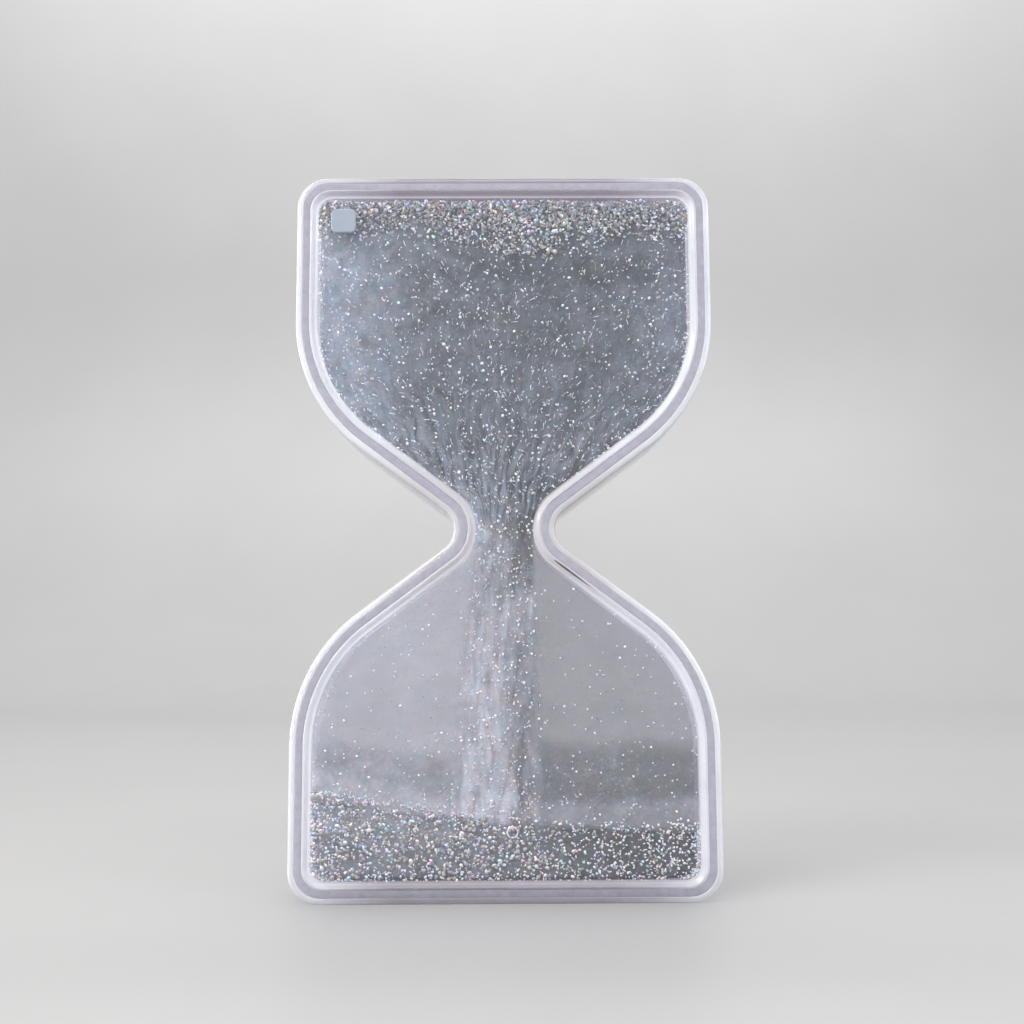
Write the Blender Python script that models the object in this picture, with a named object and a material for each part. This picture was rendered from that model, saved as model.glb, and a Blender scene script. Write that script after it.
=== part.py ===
"""A flat, sealed hourglass: two clear mouldings, a weld bead, a fill plug, a liquid and its glitter.

X is the width, Y the depth with the front facing -Y, and Z the height, from the middle of the base.
Every wall follows one outline, moved inwards by an inset, so a moulding is a stack of (inset, y) rings.
"""

import math

import bmesh
import bpy

# Driving dimensions, in metres and radians.
HEIGHT = 0.150
HALF_WIDTH = 0.0436
HALF_DEPTH = 0.010
CORNER_R = 0.0064
CORNER_SHRINK = 0.7
SHOULDER_R = 0.0336
WAIST_R = 0.0047
WAIST_HALF = 0.01045
SLANT = math.radians(36.9)

WALL = 0.0021
SKIRT = 0.0016
WINDOW = 0.0018
RECESS = 0.0008
CLEARANCE = 0.0003
BACK_EDGE_R = 0.0025
FRONT_EDGE_R = 0.0011
FRONT_LAND = 0.00135
SEAM_DEPTH = 0.0008
TRAY_DROP = 0.0006
REBATE = 0.00055
SMALL_BEVEL = 0.0003
RIM_EDGE = 0.0034
WINDOW_EDGE = 0.0041
BEAD_HEIGHT = 0.0008

PLUG_X = -0.0337
PLUG_Z = 0.1404
PLUG_HALF = 0.0026
PLUG_CORNER_R = 0.0011
PLUG_HEAD = 0.0008
PLUG_PROUD = 0.0005
PLUG_BEVEL = 0.0002
STEM_R = 0.0015

BED_LEVEL = 0.0164
BED_TILT = -0.083
BED_CURVE = 1.5
STREAM_FOOT = 0.0188
BEYOND = 0.01

# How finely the arcs are divided.
CORNER_STEPS = 6
SHOULDER_STEPS = 8
WAIST_STEPS = 4
EDGE_STEPS = 4
ROUND_STEPS = 24

# Levels that follow from them.
MIDDLE = HEIGHT / 2
FRONT_WINDOW_Y = RECESS - HALF_DEPTH
CAVITY_FRONT_Y = FRONT_WINDOW_Y + WINDOW
CAVITY_BACK_Y = -CAVITY_FRONT_Y
TRAY_FRONT_Y = TRAY_DROP - HALF_DEPTH
SEAM_Y = TRAY_FRONT_Y + SEAM_DEPTH
SKIRT_OUTSIDE = WALL + CLEARANCE
SEAM_INSIDE = SKIRT_OUTSIDE + REBATE
SKIRT_INSIDE = SKIRT_OUTSIDE + SKIRT
CAVITY_INSET = SKIRT_INSIDE + CLEARANCE


def clear_scene():
    for thing in list(bpy.data.objects):
        bpy.data.objects.remove(thing, do_unlink=True)


def arc(x, z, radius, start, end, steps):
    """Points along an arc, both ends included, with angles measured from +X towards +Z."""
    angles = [start + (end - start) * i / steps for i in range(steps + 1)]
    return [(x + radius * math.cos(a), z + radius * math.sin(a)) for a in angles]


def outline(inset):
    """The hourglass outline moved inwards by inset: (x, z) points, clockwise from the top right corner."""
    right = math.pi / 2
    flare = SHOULDER_R + WAIST_R
    run = HALF_WIDTH - WAIST_HALF - flare * (1 - math.sin(SLANT))
    shoulder_z = MIDDLE + flare * math.cos(SLANT) + run * math.tan(SLANT)
    corner_r = CORNER_R - CORNER_SHRINK * inset
    corner_x = HALF_WIDTH - inset - corner_r
    corner_z = HEIGHT - inset - corner_r
    quarter = arc(corner_x, corner_z, corner_r, right, 0, CORNER_STEPS)
    shoulder_x = HALF_WIDTH - SHOULDER_R
    quarter += arc(shoulder_x, shoulder_z, SHOULDER_R - inset, 0, SLANT - right, SHOULDER_STEPS)
    quarter += arc(WAIST_HALF + WAIST_R, MIDDLE, WAIST_R + inset, right + SLANT, math.pi, WAIST_STEPS)
    half = quarter + [(x, HEIGHT - z) for x, z in reversed(quarter[:-1])]
    return half + [(-x, z) for x, z in reversed(half)]


def rounded_square(half, radius, steps):
    """A square with rounded corners, as (x, z) points around the origin, clockwise from the top right."""
    at = half - radius
    corners = ((at, at, 90), (at, -at, 0), (-at, -at, -90), (-at, at, -180))
    points = []
    for x, z, start in corners:
        points += arc(x, z, radius, math.radians(start), math.radians(start - 90), steps)
    return points


def circle(radius, count):
    """A circle as (x, z) points around the origin, clockwise from the top."""
    angles = [math.pi / 2 - 2 * math.pi * i / count for i in range(count)]
    return [(radius * math.cos(a), radius * math.sin(a)) for a in angles]


def stacked(rings, joined_ends=False):
    """A mesh through rings of 3-D points, closed by its two ends or, when they are joined, into a loop."""
    bm = bmesh.new()
    rows = [[bm.verts.new(point) for point in ring] for ring in rings]
    pairs = list(zip(rows, rows[1:]))
    if joined_ends:
        pairs.append((rows[-1], rows[0]))
    for near, far in pairs:
        for i in range(len(near)):
            j = (i + 1) % len(near)
            bm.faces.new((near[i], near[j], far[j], far[i]))
    if not joined_ends:
        bm.faces.new(rows[0])
        bm.faces.new(rows[-1])
    bmesh.ops.recalc_face_normals(bm, faces=bm.faces)
    return bm


def moulded(section, joined_ends=False):
    """The mesh whose wall has this section, a list of (inset, y)."""
    return stacked([[(x, y, z) for x, z in outline(inset)] for inset, y in section], joined_ends)


def prism(points, front, back):
    return stacked([[(x, y, z) for x, z in points] for y in (front, back)])


def cavity_block():
    """What would fill the whole cavity, clear of its walls."""
    return moulded([(CAVITY_INSET, CAVITY_FRONT_Y + CLEARANCE), (CAVITY_INSET, CAVITY_BACK_Y - CLEARANCE)])


def cut_at(bm, height, keep_above):
    """Cuts a mesh with a level plane and closes the side that is kept."""
    everything = bm.verts[:] + bm.edges[:] + bm.faces[:]
    cut = bmesh.ops.bisect_plane(
        bm,
        geom=everything,
        plane_co=(0, 0, height),
        plane_no=(0, 0, 1),
        clear_inner=keep_above,
        clear_outer=not keep_above,
    )
    edges = [item for item in cut["geom_cut"] if isinstance(item, bmesh.types.BMEdge)]
    bmesh.ops.contextual_create(bm, geom=edges)
    bmesh.ops.recalc_face_normals(bm, faces=bm.faces)
    return bm


def plastic(name, colour, roughness, transmission):
    """A Principled material, see-through by its transmission."""
    material = bpy.data.materials.new(name)
    material.use_nodes = True
    shader = material.node_tree.nodes["Principled BSDF"]
    shader.inputs["Base Color"].default_value = (*colour, 1)
    shader.inputs["Roughness"].default_value = roughness
    shader.inputs["Transmission Weight"].default_value = transmission
    shader.inputs["IOR"].default_value = 1.49
    material.diffuse_color = (*colour, 1)
    return material


def glitter(name, colour):
    material = plastic(name, colour, 0.25, 0)
    material.node_tree.nodes["Principled BSDF"].inputs["Metallic"].default_value = 0.9
    return material


def add_part(name, bm, material=None, smooth=False):
    """Links a mesh as a named object; without a material it is a cutter, kept out of the render."""
    mesh = bpy.data.meshes.new(name)
    bm.to_mesh(mesh)
    bm.free()
    part = bpy.data.objects.new(name, mesh)
    bpy.context.scene.collection.objects.link(part)
    if material is None:
        part.hide_render = True
        part.display_type = "WIRE"
    else:
        mesh.materials.append(material)
    if smooth:
        mesh.shade_smooth()
        mesh.set_sharp_from_angle(angle=math.radians(40))
    return part


def boolean(part, cutter, operation):
    step = part.modifiers.new(cutter.name, "BOOLEAN")
    step.object = cutter
    step.operation = operation
    step.solver = "EXACT"


def edge_round(radius, back):
    """The section of a rounded edge of the side wall: face to side at the back, side to face in front."""
    turns = [math.pi / 2 * i / EDGE_STEPS for i in range(EDGE_STEPS + 1)]
    if back:
        start = HALF_DEPTH - radius
        return [(radius - radius * math.sin(a), start + radius * math.cos(a)) for a in turns]
    start = TRAY_FRONT_Y + radius
    return [(radius - radius * math.cos(a), start - radius * math.sin(a)) for a in turns]


def make_rear_tray(material):
    """The back window inside a raised rim, and the side wall that stands forward from it."""
    section = [(WINDOW_EDGE, HALF_DEPTH - RECESS), (RIM_EDGE, HALF_DEPTH)]
    section += edge_round(BACK_EDGE_R, back=True)
    section += edge_round(FRONT_EDGE_R, back=False)
    section += [(FRONT_LAND, TRAY_FRONT_Y), (FRONT_LAND, SEAM_Y), (WALL, SEAM_Y), (WALL, CAVITY_BACK_Y)]
    return add_part("rear_tray", moulded(section), material, smooth=True)


def make_front_cover(material):
    """The front window inside a raised rim, its skirt, and the counterbored fill hole."""
    section = [
        (WINDOW_EDGE, FRONT_WINDOW_Y),
        (RIM_EDGE, -HALF_DEPTH),
        (SEAM_INSIDE + SMALL_BEVEL, -HALF_DEPTH),
        (SEAM_INSIDE, SMALL_BEVEL - HALF_DEPTH),
        (SEAM_INSIDE, SEAM_Y),
        (SKIRT_OUTSIDE, SEAM_Y),
        (SKIRT_OUTSIDE, CAVITY_BACK_Y - CLEARANCE),
        (SKIRT_INSIDE, CAVITY_BACK_Y - CLEARANCE),
        (SKIRT_INSIDE, CAVITY_FRONT_Y),
    ]
    cover = add_part("front_cover", moulded(section), material, smooth=True)
    seat_y = FRONT_WINDOW_Y - PLUG_PROUD + PLUG_HEAD + CLEARANCE
    seat = rounded_square(PLUG_HALF + CLEARANCE, PLUG_CORNER_R + CLEARANCE, 3)
    hole = circle(STEM_R + CLEARANCE, ROUND_STEPS)
    counterbore = add_part("counterbore_cutter", prism(seat, -HALF_DEPTH - BEYOND, seat_y))
    bore = add_part("fill_hole_cutter", prism(hole, -HALF_DEPTH, 0))
    for cutter in (counterbore, bore):
        cutter.location = (PLUG_X, 0, PLUG_Z)
        boolean(cover, cutter, "DIFFERENCE")
    return cover


def make_weld_bead(material):
    """A slim hexagonal ring of melted plastic that sits in the seam between the tray and the cover."""
    low = FRONT_LAND + CLEARANCE
    high = SEAM_INSIDE - CLEARANCE
    middle = (low + high) / 2
    floor = SEAM_Y - CLEARANCE
    top = floor - BEAD_HEIGHT
    section = [
        (low, (floor + top) / 2),
        (middle - SMALL_BEVEL, top),
        (middle + SMALL_BEVEL, top),
        (high, (floor + top) / 2),
        (middle + SMALL_BEVEL, floor),
        (middle - SMALL_BEVEL, floor),
    ]
    return add_part("weld_bead", moulded(section, joined_ends=True), material, smooth=True)


def make_fill_plug(material):
    """A rounded-square head on a round stem, pressed into the fill hole."""
    head_front = FRONT_WINDOW_Y - PLUG_PROUD
    head_back = head_front + PLUG_HEAD
    square = rounded_square(PLUG_HALF, PLUG_CORNER_R, 5)
    crown = rounded_square(PLUG_HALF - PLUG_BEVEL, PLUG_CORNER_R - PLUG_BEVEL, 5)
    stem = circle(STEM_R, len(square))
    levels = [
        (crown, head_front),
        (square, head_front + PLUG_BEVEL),
        (square, head_back),
        (stem, head_back),
        (stem, CAVITY_FRONT_Y),
    ]
    bm = stacked([[(x, y, z) for x, z in points] for points, y in levels])
    plug = add_part("fill_plug", bm, material, smooth=True)
    plug.location = (PLUG_X, 0, PLUG_Z)
    return plug


def bed_height(x):
    """The top of the settled glitter, heaped towards the left wall."""
    return BED_LEVEL + BED_TILT * x + BED_CURVE * x * x


def below_bed(name, rise):
    """A cutter that holds everything under the bed's surface lifted by rise."""
    steps = 24
    xs = [HALF_WIDTH * (2 * i / steps - 1) for i in range(steps + 1)]
    surface = [(x, bed_height(x) + rise) for x in xs]
    under = [(HALF_WIDTH, -BEYOND), (-HALF_WIDTH, -BEYOND)]
    return add_part(name, prism(surface + under, -2 * HALF_DEPTH, 2 * HALF_DEPTH))


def stream_rings(grow, foot, head):
    """Ellipses up the column of falling glitter, grown by grow, from foot to head."""
    levels = ((0, 0.0064, 0.0052), (0.5, 0.0060, 0.0050), (0.8, 0.0054, 0.0048), (1, 0.0049, 0.0047))
    rings = []
    for share, half_x, half_y in levels:
        z = foot + (head - foot) * share
        ring = circle(1, ROUND_STEPS)
        rings.append([((half_x + grow) * c, (half_y + grow) * s, z) for c, s in ring])
    return rings


def make_upper_glitter(material):
    """The glitter and liquid still above the waist."""
    bm = cut_at(cavity_block(), MIDDLE + CLEARANCE / 2, keep_above=True)
    return add_part("upper_glitter", bm, material)


def make_falling_stream(material):
    """The column that sinks from the waist to just above the bed."""
    bm = stacked(stream_rings(0, STREAM_FOOT, MIDDLE - CLEARANCE / 2))
    return add_part("falling_stream", bm, material, smooth=True)


def make_settled_bed(material):
    """The heap on the floor of the lower chamber."""
    bed = add_part("settled_bed", cavity_block(), material)
    boolean(bed, below_bed("bed_cutter", 0), "INTERSECT")
    return bed


def make_carrier_liquid(material):
    """The clear liquid of the lower chamber, around the stream and over the bed."""
    bm = cut_at(cavity_block(), MIDDLE - CLEARANCE / 2, keep_above=False)
    liquid = add_part("carrier_liquid", bm, material)
    tunnel = add_part("stream_cutter", stacked(stream_rings(CLEARANCE, BEYOND, MIDDLE + CLEARANCE)))
    boolean(liquid, below_bed("liquid_floor_cutter", CLEARANCE), "DIFFERENCE")
    boolean(liquid, tunnel, "DIFFERENCE")
    return liquid


def main():
    clear_scene()
    clear = plastic("clear_plastic", (0.90, 0.92, 0.96), 0.05, 0.95)
    weld = plastic("weld_plastic", (0.86, 0.87, 0.93), 0.2, 0.7)
    plug = plastic("plug_plastic", (0.55, 0.60, 0.68), 0.35, 0)
    liquid = plastic("clear_liquid", (0.88, 0.89, 0.92), 0.02, 0.95)
    parts = [
        make_rear_tray(clear),
        make_front_cover(clear),
        make_weld_bead(weld),
        make_fill_plug(plug),
        make_upper_glitter(glitter("hanging_glitter", (0.52, 0.56, 0.62))),
        make_falling_stream(glitter("sinking_glitter", (0.60, 0.64, 0.70))),
        make_settled_bed(glitter("packed_glitter", (0.62, 0.62, 0.60))),
        make_carrier_liquid(liquid),
    ]
    hourglass = bpy.data.objects.new("hourglass", None)
    bpy.context.scene.collection.objects.link(hourglass)
    for part in parts:
        part.parent = hourglass


main()
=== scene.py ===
import math

import bmesh
import bpy
import numpy as np
from mathutils import Euler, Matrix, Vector, noise


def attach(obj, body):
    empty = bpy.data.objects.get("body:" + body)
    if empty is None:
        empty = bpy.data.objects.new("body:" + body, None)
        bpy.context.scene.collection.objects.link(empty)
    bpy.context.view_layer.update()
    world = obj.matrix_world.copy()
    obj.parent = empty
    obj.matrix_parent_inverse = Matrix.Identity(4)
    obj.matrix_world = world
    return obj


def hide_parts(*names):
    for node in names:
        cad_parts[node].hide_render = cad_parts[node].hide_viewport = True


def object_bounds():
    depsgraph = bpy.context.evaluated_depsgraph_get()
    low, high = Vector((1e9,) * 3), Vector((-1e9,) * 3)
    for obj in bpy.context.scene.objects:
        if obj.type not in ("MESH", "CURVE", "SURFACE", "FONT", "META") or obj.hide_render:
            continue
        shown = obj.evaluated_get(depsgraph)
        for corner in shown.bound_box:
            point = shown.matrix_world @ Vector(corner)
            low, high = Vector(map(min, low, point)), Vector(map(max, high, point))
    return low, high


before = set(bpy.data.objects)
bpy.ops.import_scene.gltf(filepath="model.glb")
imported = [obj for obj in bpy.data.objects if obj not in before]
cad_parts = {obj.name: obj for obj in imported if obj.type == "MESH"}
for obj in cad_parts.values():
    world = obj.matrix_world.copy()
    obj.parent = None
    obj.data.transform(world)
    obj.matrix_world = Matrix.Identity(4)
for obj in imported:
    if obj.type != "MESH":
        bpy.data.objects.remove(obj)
cad_low, cad_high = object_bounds()

MM = 0.001

# The case, in metres. The overall sizes come from the frame, the rest repeats the design's own dimensions.
HEIGHT = cad_high.z
HALF_WIDTH = cad_high.x
HALF_DEPTH = cad_high.y
MIDDLE = HEIGHT / 2
CORNER_R = 0.0064
CORNER_SHRINK = 0.7
SHOULDER_R = 0.0336
WAIST_R = 0.0047
WAIST_HALF = 0.01045
SLANT = math.radians(36.9)
WALL = 0.0021
SKIRT = 0.0016
WINDOW = 0.0018
RECESS = 0.0008
CLEARANCE = 0.0003
FRONT_LAND = 0.00135
SEAM_DEPTH = 0.0008
TRAY_DROP = 0.0006
REBATE = 0.00055
RIM_EDGE = 0.0034
WINDOW_EDGE = 0.0041
FRONT_WINDOW_Y = RECESS - HALF_DEPTH
CAVITY_FRONT_Y = FRONT_WINDOW_Y + WINDOW
CAVITY_BACK_Y = -CAVITY_FRONT_Y
TRAY_FRONT_Y = TRAY_DROP - HALF_DEPTH
SEAM_Y = TRAY_FRONT_Y + SEAM_DEPTH
SKIRT_OUTSIDE = WALL + CLEARANCE
SEAM_INSIDE = SKIRT_OUTSIDE + REBATE
SKIRT_INSIDE = SKIRT_OUTSIDE + SKIRT

# The contents, also in metres. The bed's top is a parabola across the case.
CAVITY_FLOOR = SKIRT_INSIDE
CAVITY_HALF_DEPTH = CAVITY_BACK_Y
BED_LEVEL = 0.0164
BED_TILT = -0.083
BED_CURVE = 1.5

# How far inside the outline the dust and the flakes stay, and how many of the flakes lie at the front.
DUST_INSET = 4.35 * MM
FLAKE_INSET = 4.4 * MM
UPPER_FRONT_SHARE = 0.62
LOWER_FRONT_SHARE = 0.6
FILM_THICKNESS = 0.035 * MM

# Where scatter() puts flakes: this far from the windows at least, and this share of them by the side walls.
WINDOW_GAP = 0.35 * MM
WALL_SHARE = 0.12

rng = np.random.default_rng(7)


# ---------------------------------------------------------------- outline

def arc(x, z, radius, start, end, steps):
    """Points along an arc, both ends included, with angles measured from +X towards +Z."""
    angles = np.linspace(start, end, steps + 1)
    return [(x + radius * math.cos(a), z + radius * math.sin(a)) for a in angles]


def right_side(inset, fine=1.0):
    """The right half of the outline moved inwards by inset, as (x, z) from the top to the bottom."""
    right = math.pi / 2
    flare = SHOULDER_R + WAIST_R
    run = HALF_WIDTH - WAIST_HALF - flare * (1 - math.sin(SLANT))
    shoulder_z = MIDDLE + flare * math.cos(SLANT) + run * math.tan(SLANT)
    corner_r = CORNER_R - CORNER_SHRINK * inset
    corner_x = HALF_WIDTH - inset - corner_r
    corner_z = HEIGHT - inset - corner_r
    shoulder_x = HALF_WIDTH - SHOULDER_R
    steps = [int(n * fine) for n in (14, 26, 12)]
    quarter = arc(corner_x, corner_z, corner_r, right, 0, steps[0])
    quarter += arc(shoulder_x, shoulder_z, SHOULDER_R - inset, 0, SLANT - right, steps[1])
    quarter += arc(WAIST_HALF + WAIST_R, MIDDLE, WAIST_R + inset, right + SLANT, math.pi, steps[2])
    return quarter + [(x, HEIGHT - z) for x, z in reversed(quarter[:-1])]


def outline(inset):
    """The whole outline moved inwards by inset, clockwise from the upper right corner."""
    half = right_side(inset)
    return half + [(-x, z) for x, z in reversed(half)]


def half_width(z, inset):
    """How far the outline moved inwards by inset reaches to each side at height z."""
    side = np.array(right_side(inset, 2.0))[::-1]
    return np.interp(z, side[:, 1], side[:, 0])


def bed_height(x):
    """The top of the settled glitter, heaped towards the left wall."""
    return BED_LEVEL + BED_TILT * x + BED_CURVE * x * x


# ---------------------------------------------------------------- meshes

def link(name, mesh, materials, smooth=None):
    """A new piece in the scene, shaded smooth up to an angle in degrees."""
    piece = bpy.data.objects.new(name, mesh)
    bpy.context.scene.collection.objects.link(piece)
    for material in materials:
        mesh.materials.append(material)
    if smooth is not None:
        mesh.shade_smooth()
        mesh.set_sharp_from_angle(angle=math.radians(smooth))
    return piece


def keep(piece, slot, *nodes):
    """Attach the piece to the root body, and hide the frame's nodes that it replaces; slot is not used."""
    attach(piece, "root")
    if nodes:
        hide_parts(*nodes)


def filleted(corners, steps=5):
    """A section's (inset, y) points, with each corner (inset, y, radius) rounded off."""
    points = [Vector(c[:2]) for c in corners]
    rounded = []
    for i, corner in enumerate(points):
        radius = corners[i][2]
        if radius == 0:
            rounded.append(tuple(corner))
            continue
        before = (points[i - 1] - corner).normalized() * radius
        after = (points[(i + 1) % len(points)] - corner).normalized() * radius
        for t in np.linspace(0, 1, steps + 1):
            rounded.append(tuple(corner + before * (1 - t) ** 2 + after * t ** 2))
    return rounded


# The case's materials, in the order in which each moulding holds them.
RIM, PANE, WET, PAINTED_HIGHLIGHT = range(4)


def moulded(name, section, materials, choose=None, joined_ends=False):
    """A moulding whose wall has this section.

    choose(inset, y) gives the number of the material that each strip of the wall takes. The flat end that
    closes the section's start is a PANE, and the one that closes its end is WET.
    """
    bm = bmesh.new()
    rows = [[bm.verts.new((x, y, z)) for x, z in outline(inset)] for inset, y in section]
    pairs = list(zip(range(len(rows)), range(1, len(rows))))
    if joined_ends:
        pairs.append((len(rows) - 1, 0))
    for a, b in pairs:
        near, far = rows[a], rows[b]
        middle = [(section[a][k] + section[b][k]) / 2 for k in (0, 1)]
        slot = choose(*middle) if choose else RIM
        for i in range(len(near)):
            j = (i + 1) % len(near)
            bm.faces.new((near[i], near[j], far[j], far[i])).material_index = slot
    if not joined_ends:
        bm.faces.new(rows[0]).material_index = PANE
        bm.faces.new(rows[-1]).material_index = WET
    bmesh.ops.recalc_face_normals(bm, faces=bm.faces)
    mesh = bpy.data.meshes.new(name)
    bm.to_mesh(mesh)
    bm.free()
    return link(name, mesh, materials, smooth=35)


def mesh_of(name, points, faces):
    """A mesh from its points and a list of arrays of faces, each array with one number of corners."""
    mesh = bpy.data.meshes.new(name)
    mesh.vertices.add(len(points))
    mesh.vertices.foreach_set("co", np.asarray(points, np.float32).ravel())
    corners = np.concatenate([f.ravel() for f in faces])
    sizes = np.concatenate([np.full(len(f), f.shape[1]) for f in faces])
    mesh.loops.add(len(corners))
    mesh.loops.foreach_set("vertex_index", corners.astype(np.int32))
    mesh.polygons.add(len(sizes))
    mesh.polygons.foreach_set("loop_start", (np.cumsum(sizes) - sizes).astype(np.int32))
    mesh.update(calc_edges=True)
    mesh.validate()
    return mesh


def ring_faces(rings, around, joined=False, inside_out=False):
    """Faces between rings of points in a row, with a cap on each end unless the ends are joined."""
    i = np.arange(around)
    j = (i + 1) % around
    bands = np.arange(rings if joined else rings - 1)
    near = (bands * around)[:, None]
    far = ((bands + 1) % rings * around)[:, None]
    quads = np.stack([near + i, near + j, far + j, far + i], axis=2).reshape(-1, 4)
    caps = [] if joined else [i[::-1][None, :], (i + (rings - 1) * around)[None, :]]
    if inside_out:
        return [quads[:, [0, 3, 2, 1]], *(cap[:, ::-1] for cap in caps)]
    return [quads, *caps]


def tube(name, path, radii, material, around=10, closed=False):
    """A slightly flattened tube along a path that keeps to one y, with a radius at each of its points."""
    path = np.asarray(path)
    step = np.roll(path, -1, axis=0) - np.roll(path, 1, axis=0)
    if not closed:
        step[0], step[-1] = path[1] - path[0], path[-1] - path[-2]
    sideways = unit(np.cross(step, (0, 1, 0)))
    forwards = np.array((0, 0.7, 0))
    points = []
    for place, radius, across in zip(path, radii, sideways):
        for a in np.linspace(0, 2 * math.pi, around, endpoint=False):
            points.append(place + radius * (math.cos(a) * across + math.sin(a) * forwards))
    faces = ring_faces(len(path), around, joined=closed, inside_out=True)
    return link(name, mesh_of(name, points, faces), [material], smooth=60)


def ripple(points, scale, offset):
    """Smooth noise from -1 to 1 at each point."""
    return np.array([noise.noise(Vector(p) * scale + Vector((offset, 0, 0))) for p in points])


def limit_at(limit, x):
    """A limit that is either a number or a function of x."""
    return limit(x) if callable(limit) else limit


def cloud_body(name, materials, low, high, inset, front, back, bump, seed, rows=110, across=70):
    """A closed body that fills the outline between two heights, with a gently uneven front and back.

    low and high may be functions of x, and inset a function that gives half the width at a height. front
    and back are the body's depths at the middle of its width.
    """
    turn = np.sin(np.linspace(-1, 1, across) * math.pi / 2)
    ends = (1 - np.abs(turn) ** 8) ** 0.4
    middle = (front + back) / 2
    ring_x = np.concatenate([turn, turn[-2:0:-1]])
    ring_y = np.concatenate([ends * (front - middle), (ends * (back - middle))[-2:0:-1]])
    points = []
    for t in np.linspace(0, 1, rows):
        level = limit_at(low, 0) * (1 - t) + limit_at(high, 0) * t
        x = ring_x * (inset(level) if callable(inset) else half_width(level, inset))
        z = np.broadcast_to(limit_at(low, x) * (1 - t) + limit_at(high, x) * t, x.shape)
        squeeze = min(1.0, (min(t, 1 - t) * (rows - 1) / 3 + 0.25)) ** 0.5
        points.append(np.stack([x, middle + ring_y * squeeze, z], axis=1))
    points = np.concatenate(points)
    lift = ripple(points, 260, seed) + 0.5 * ripple(points, 700, seed + 9)
    points[:, 1] += bump * lift * np.sign(points[:, 1] - middle)
    return link(name, mesh_of(name, points, ring_faces(rows, len(ring_x))), materials, smooth=60)


BODY_VALUES = ("veil", "tone", "pull")


def shade_body(piece, **values):
    """Give every point of a cloud body its veil, tone and pull."""
    count = len(piece.data.vertices)
    for key in BODY_VALUES:
        layer = piece.data.attributes.new(key, "FLOAT", "POINT")
        layer.data.foreach_set("value", np.asarray(values.get(key, 0) * np.ones(count), np.float32))


def points_of(piece):
    """The places of a piece's points, as an array."""
    flat = np.empty(len(piece.data.vertices) * 3)
    piece.data.vertices.foreach_get("co", flat)
    return flat.reshape(-1, 3)


def unit(v):
    """Each row of v, made one long."""
    return v / np.maximum(np.linalg.norm(v, axis=1, keepdims=True), 1e-9)


def flakes(name, centres, across, material, sides=6, aspect=1.0, along=None, turn=0.7):
    """Glitter: thin closed plates at the centres, across wide, that face out through the nearer window.

    turn says how far they lean from that, and along gives a direction that the long way of slim flakes
    roughly keeps to.
    """
    count = len(centres)
    outward = np.zeros((count, 3))
    outward[:, 1] = np.where(centres[:, 1] < 0, -1, 1)
    facing = unit(outward + turn * rng.normal(size=(count, 3)))
    lean = rng.normal(size=(count, 3)) if along is None else along + 0.45 * rng.normal(size=(count, 3))
    u = unit(lean - facing * (lean * facing).sum(1, keepdims=True))
    v = np.cross(facing, u)
    half_u = (np.asarray(across) / 2 * np.ones(count))[:, None]
    half_v = half_u * np.broadcast_to(aspect, (count,))[:, None]
    ring = []
    for k in range(sides):
        angle = 2 * math.pi * (k + 0.5) / sides
        ring.append(u * half_u * math.cos(angle) + v * half_v * math.sin(angle))
    ring = np.stack(ring, axis=1)
    edge = facing[:, None, :] * FILM_THICKNESS / 2
    points = centres[:, None, :] + np.concatenate([ring + edge, ring - edge], axis=1)
    base = (np.arange(count) * 2 * sides)[:, None]
    k = np.arange(sides)
    after = (k + 1) % sides
    tops = base + k
    bottoms = base + sides + k[::-1]
    walls = np.stack([base + k, base + sides + k, base + sides + after, base + after], axis=2)
    mesh = mesh_of(name, points.reshape(-1, 3), [tops, bottoms, walls.reshape(-1, 4)])
    return link(name, mesh, [material])


# ---------------------------------------------------------------- materials

def grey(level):
    return (level, level, level)


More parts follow.
